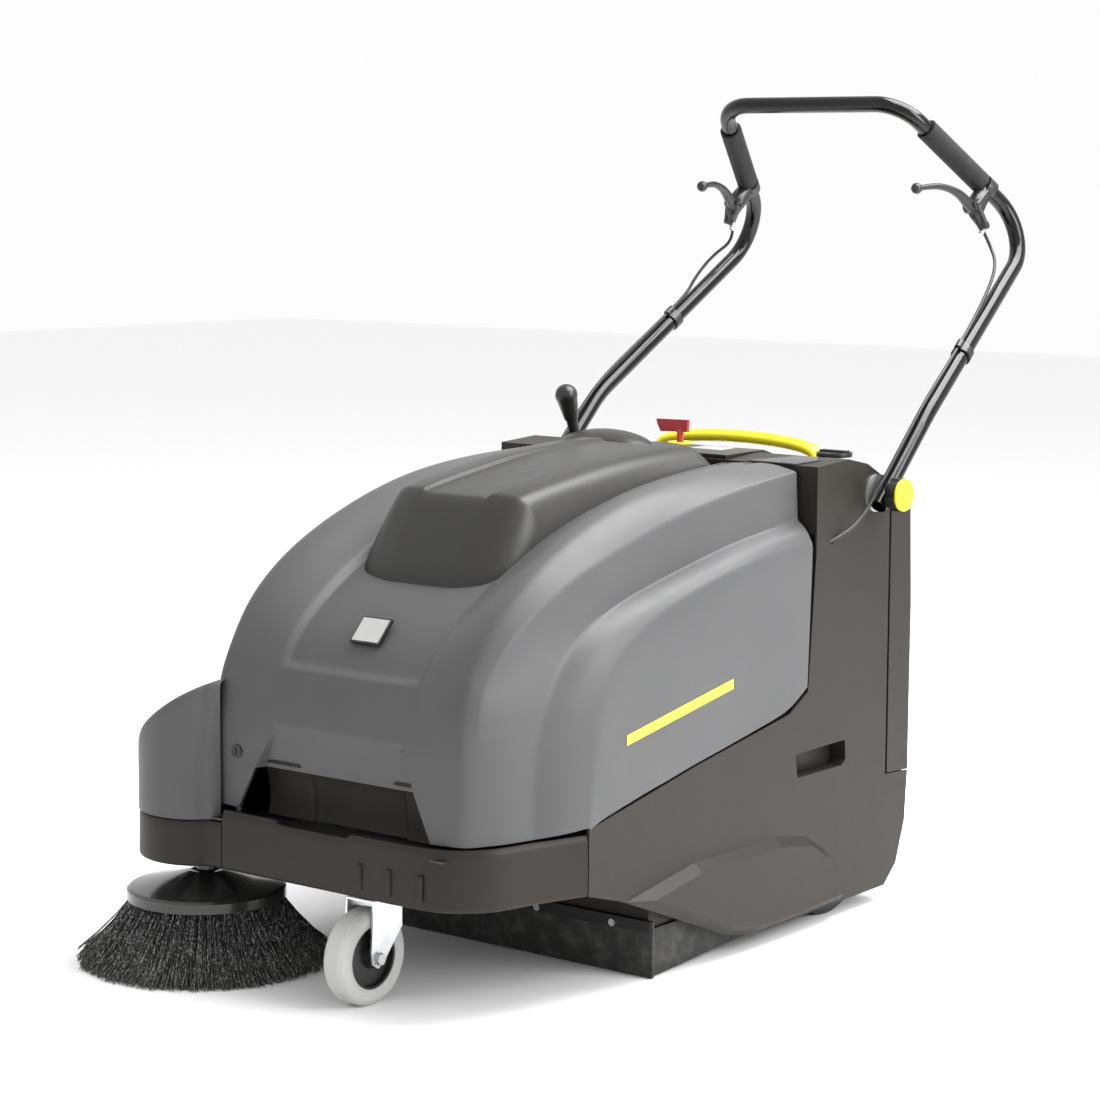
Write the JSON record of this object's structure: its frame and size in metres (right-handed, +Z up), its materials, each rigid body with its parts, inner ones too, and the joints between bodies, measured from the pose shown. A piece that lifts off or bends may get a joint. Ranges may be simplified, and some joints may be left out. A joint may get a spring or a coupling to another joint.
{
  "type": "walk behind sweeper",
  "caption": "Walk behind floor sweeper with hinged grey hood, side brush, front caster, rear dirt container and folding U-shaped push handle.",
  "frame": {"origin": "on the floor, under the middle of the whole machine's box", "axes": "+Z up, -Y to the machine's front, +X to its left side seen from behind facing rearwards; the side brush is on the -X side"},
  "size_m": [0.781, 1.4379, 1.1774],
  "materials": {
    "black_plastic": "fine spark-eroded texture",
    "grey_plastic": "satin moulded",
    "dark_grey_plastic": "satin moulded",
    "silver_plate": "satin",
    "yellow_plastic": "satin",
    "red_plastic": "gloss",
    "light_plastic": "moulded",
    "zinc_steel": "bright zinc",
    "motor_steel": "painted",
    "belt_rubber": "ribbed",
    "flap_rubber": "matt",
    "battery_case": "moulded",
    "filter_paper": "pleated",
    "bristle_nylon": "bristles",
    "disc_metal": "dark gloss",
    "hub_plastic": "moulded",
    "grey_tyre": "non-marking",
    "black_tyre": "matt",
    "black_tube": "gloss black powder coat",
    "soft_black": "soft touch",
    "cable_sheath": "satin"
  },
  "bodies": {
    "root": {"chassis_frame": "black_plastic", "front_bumper": "black_plastic", "brush_housing_base": "black_plastic", "side_panel_right": "black_plastic", "side_panel_left": "black_plastic", "rear_deck": "black_plastic", "control_panel": "black_plastic", "display_plate": "silver_plate", "key_switch_ring": "yellow_plastic", "hood_hinge_pins": "zinc_steel", "battery": "battery_case", "drive_motor": "motor_steel", "drive_belt": "belt_rubber", "roller_bearings": "zinc_steel", "flat_filter": "filter_paper", "fan_housing": "black_plastic", "front_flap": "flap_rubber", "chamber_flaps": "flap_rubber", "flap_strip": "black_plastic", "flap_screws": "zinc_steel", "brush_guide_rods": "zinc_steel", "caster_plate": "zinc_steel", "caster_screws": "zinc_steel", "rear_axles": "zinc_steel", "pivot_discs": "light_plastic"},
    "hood": {"hood_shell": "grey_plastic", "brush_housing_cap": "grey_plastic", "hood_dome": "dark_grey_plastic", "badge_plate": "silver_plate"},
    "hood_lock": {"hood_lock": "black_plastic"},
    "switch_key": {"switch_key": "red_plastic"},
    "lift_lever": {"lift_lever": "soft_black"},
    "shaker_knob": {"filter_shaker_knob": "black_plastic"},
    "motor_pulley": {"motor_pulley": "motor_steel"},
    "main_roller": {"roller_core": "light_plastic", "roller_bristles": "bristle_nylon"},
    "fan_impeller": {"fan_impeller": "light_plastic"},
    "brush_carrier": {"side_brush_motor": "motor_steel"},
    "side_brush": {"side_brush_disc": "disc_metal", "side_brush_bristles": "bristle_nylon"},
    "caster_fork": {"caster_fork": "zinc_steel", "caster_axle": "zinc_steel"},
    "caster_wheel": {"caster_hub": "hub_plastic", "caster_tyre": "grey_tyre"},
    "wheel_right": {"rear_wheel_right": "black_tyre"},
    "wheel_left": {"rear_wheel_left": "black_tyre"},
    "container": {"dirt_container": "black_plastic", "container_handle": "yellow_plastic"},
    "handle": {"handle_tube": "black_tube", "grips": "soft_black", "lever_brackets": "soft_black", "cable_clips": "black_plastic", "bowden_cables": "cable_sheath"},
    "lever_right": {"brake_lever_right": "soft_black"},
    "lever_left": {"brake_lever_left": "soft_black"},
    "knob_right": {"clamp_knob_right": "black_plastic", "knob_cap_right": "yellow_plastic"},
    "knob_left": {"clamp_knob_left": "black_plastic", "knob_cap_left": "yellow_plastic"}
  },
  "joints": [
    {"name": "hood_hinge", "type": "hinge", "parent": "root", "child": "hood", "pos_m": [0.0555, 0.088, 0.6435], "axis": [-1, 0, 0], "range_deg": [0, 60]},
    {"name": "hood_lock_turn", "type": "hinge", "parent": "hood", "child": "hood_lock", "pos_m": [-0.1145, -0.581, 0.303], "axis": [0, 1, 0], "range_deg": [0, 90]},
    {"name": "key_turn", "type": "hinge", "parent": "root", "child": "switch_key", "pos_m": [0.0335, 0.203, 0.66], "axis": [0, 0, -1], "range_deg": [0, 90]},
    {"name": "lift_lever_swing", "type": "hinge", "parent": "root", "child": "lift_lever", "pos_m": [-0.1695, 0.222, 0.632], "axis": [-1, 0, 0], "range_deg": [0, 32]},
    {"name": "shaker_turn", "type": "hinge", "parent": "root", "child": "shaker_knob", "pos_m": [0.2815, 0.238, 0.66], "axis": [0, 0, 1], "range_deg": [0, 90]},
    {"name": "roller_spin", "type": "hinge", "parent": "root", "child": "main_roller", "pos_m": [0.0555, -0.115, 0.116], "axis": [1, 0, 0], "continuous": true},
    {"name": "motor_spin", "type": "hinge", "parent": "root", "child": "motor_pulley", "pos_m": [0.0555, -0.345, 0.222], "axis": [1, 0, 0], "continuous": true},
    {"name": "fan_spin", "type": "hinge", "parent": "root", "child": "fan_impeller", "pos_m": [0.0355, 0.2, 0.56], "axis": [0, 0, 1], "continuous": true},
    {"name": "brush_lift", "type": "slide", "parent": "root", "child": "brush_carrier", "axis": [0, 0, 1], "range_m": [0, 0.02]},
    {"name": "side_brush_spin", "type": "hinge", "parent": "brush_carrier", "child": "side_brush", "pos_m": [-0.2135, -0.538, 0.1], "axis": [0, 0, 1], "continuous": true},
    {"name": "caster_swivel", "type": "hinge", "parent": "root", "child": "caster_fork", "pos_m": [0.0985, -0.541, 0.14], "axis": [0, 0, 1], "continuous": true},
    {"name": "caster_roll", "type": "hinge", "parent": "caster_fork", "child": "caster_wheel", "pos_m": [0.0985, -0.567, 0.0625], "axis": [1, 0, 0], "continuous": true},
    {"name": "wheel_right_roll", "type": "hinge", "parent": "root", "child": "wheel_right", "pos_m": [0.2985, 0.19, 0.1], "axis": [1, 0, 0], "continuous": true},
    {"name": "wheel_left_roll", "type": "hinge", "parent": "root", "child": "wheel_left", "pos_m": [-0.1875, 0.19, 0.1], "axis": [1, 0, 0], "continuous": true},
    {"name": "container_pull", "type": "slide", "parent": "root", "child": "container", "axis": [0, 1, 0], "range_m": [0, 0.36]},
    {"name": "handle_tilt", "type": "hinge", "parent": "root", "child": "handle", "pos_m": [0.0555, 0.2576, 0.6065], "axis": [1, 0, 0], "range_deg": [-15, 60], "deforming": ["bowden_cables"]},
    {"name": "lever_right_squeeze", "type": "hinge", "parent": "handle", "child": "lever_right", "pos_m": [0.2775, 0.622, 1.012], "axis": [-0.9538, 0.1362, -0.2678], "range_deg": [0, 20], "stiffness_Nm_per_rad": 1.5, "springref_deg": -8.59},
    {"name": "lever_left_squeeze", "type": "hinge", "parent": "handle", "child": "lever_left", "pos_m": [-0.1665, 0.622, 1.012], "axis": [-0.9538, -0.1362, 0.2678], "range_deg": [0, 20], "stiffness_Nm_per_rad": 1.5, "springref_deg": -8.59},
    {"name": "knob_right_turn", "type": "hinge", "parent": "handle", "child": "knob_right", "pos_m": [0.3555, 0.2576, 0.6065], "axis": [1, 0, 0], "range_deg": [0, 360]},
    {"name": "knob_left_turn", "type": "hinge", "parent": "handle", "child": "knob_left", "pos_m": [-0.2445, 0.2576, 0.6065], "axis": [-1, 0, 0], "range_deg": [0, 360]}
  ],
  "couplings": [
    {"joint": "lift_lever_swing", "follows": "brush_lift", "rad_per_m": 27.897},
    {"joint": "motor_spin", "follows": "roller_spin", "ratio": 1.75}
  ]
}
